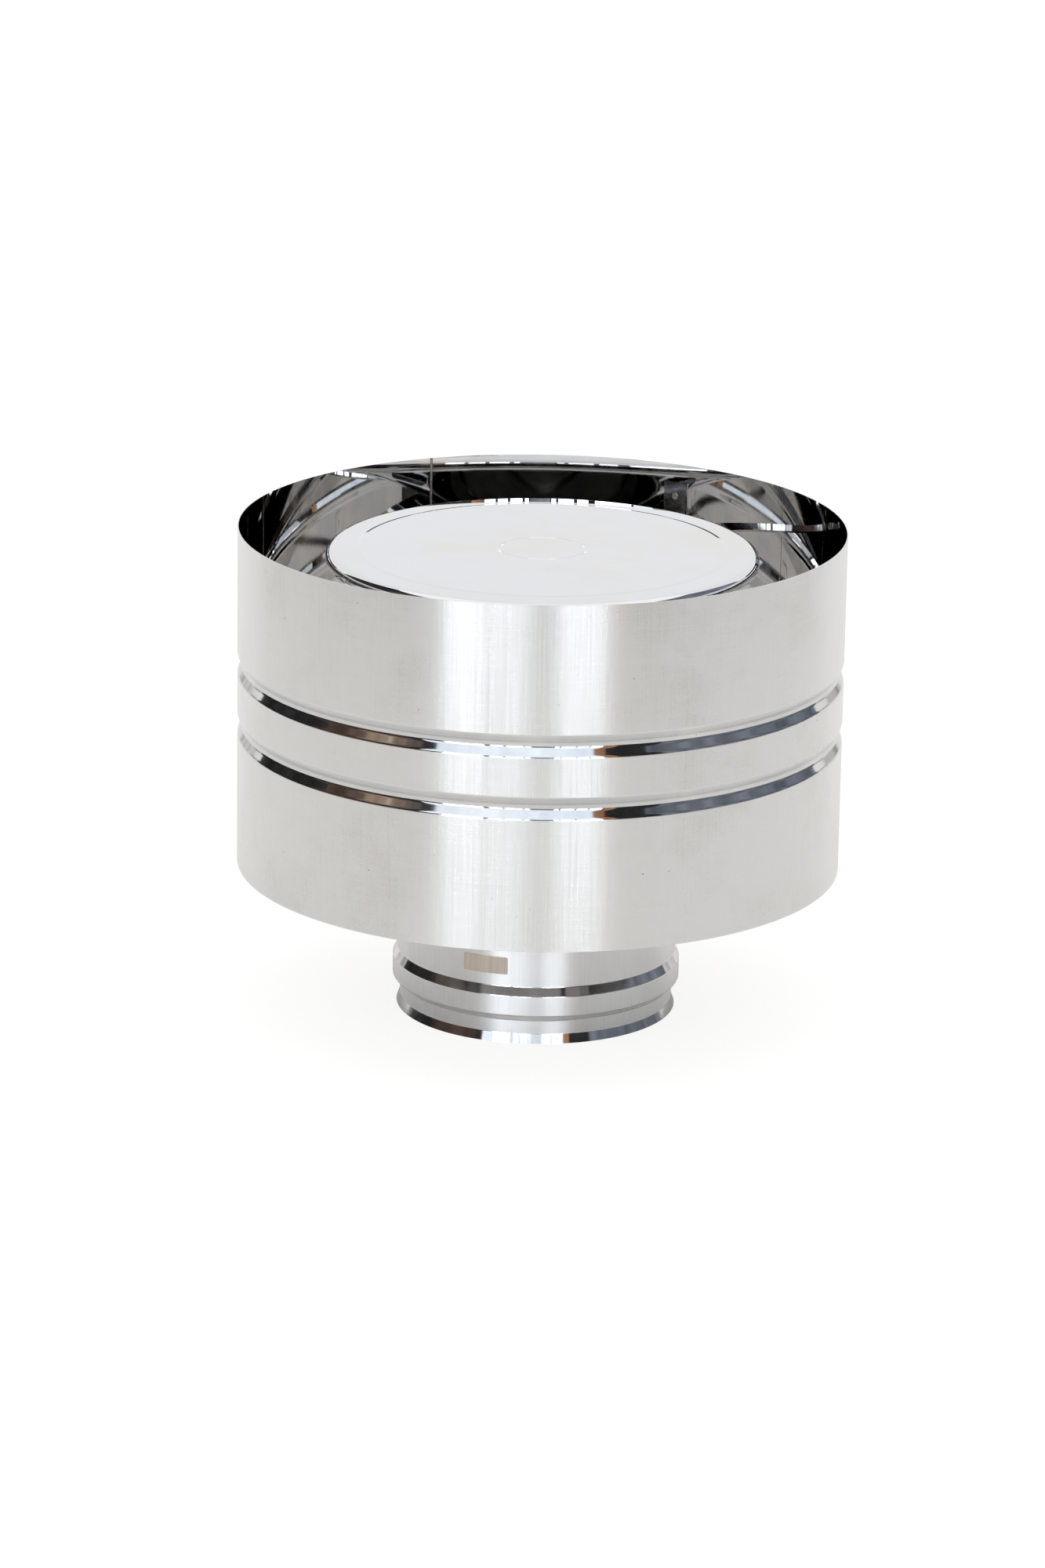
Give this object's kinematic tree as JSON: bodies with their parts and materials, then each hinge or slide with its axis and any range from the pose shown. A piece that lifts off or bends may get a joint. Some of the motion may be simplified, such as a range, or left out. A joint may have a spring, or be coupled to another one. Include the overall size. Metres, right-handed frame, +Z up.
{
  "type": "chimney cowl",
  "caption": "Fixed stainless chimney cowl: grooved open drum on strap arms round a flue pipe, with a flat cap over an inverted cone.",
  "frame": {"origin": "on the flue axis at the lower end of the pipe, where the cowl stands", "axes": "+Z up the flue axis towards the cap; -Y is the side the picture shows nearest; +X to its right"},
  "size_m": [0.436, 0.436, 0.3559],
  "materials": {
    "pipe_steel": "bright cold-rolled",
    "drum_steel": "satin outside, bright inside",
    "lid_steel": "bright pressed",
    "strap_steel": "bright folded"
  },
  "bodies": {
    "root": {"flue_pipe": "pipe_steel", "diffuser": "pipe_steel", "drum_shell": "drum_steel", "cap_lid": "lid_steel", "cap_cone": "lid_steel", "cap_bracket_1": "strap_steel", "cap_bracket_2": "strap_steel", "cap_bracket_3": "strap_steel", "drum_arm_1": "strap_steel", "drum_arm_2": "strap_steel", "drum_arm_3": "strap_steel"}
  },
  "joints": []
}
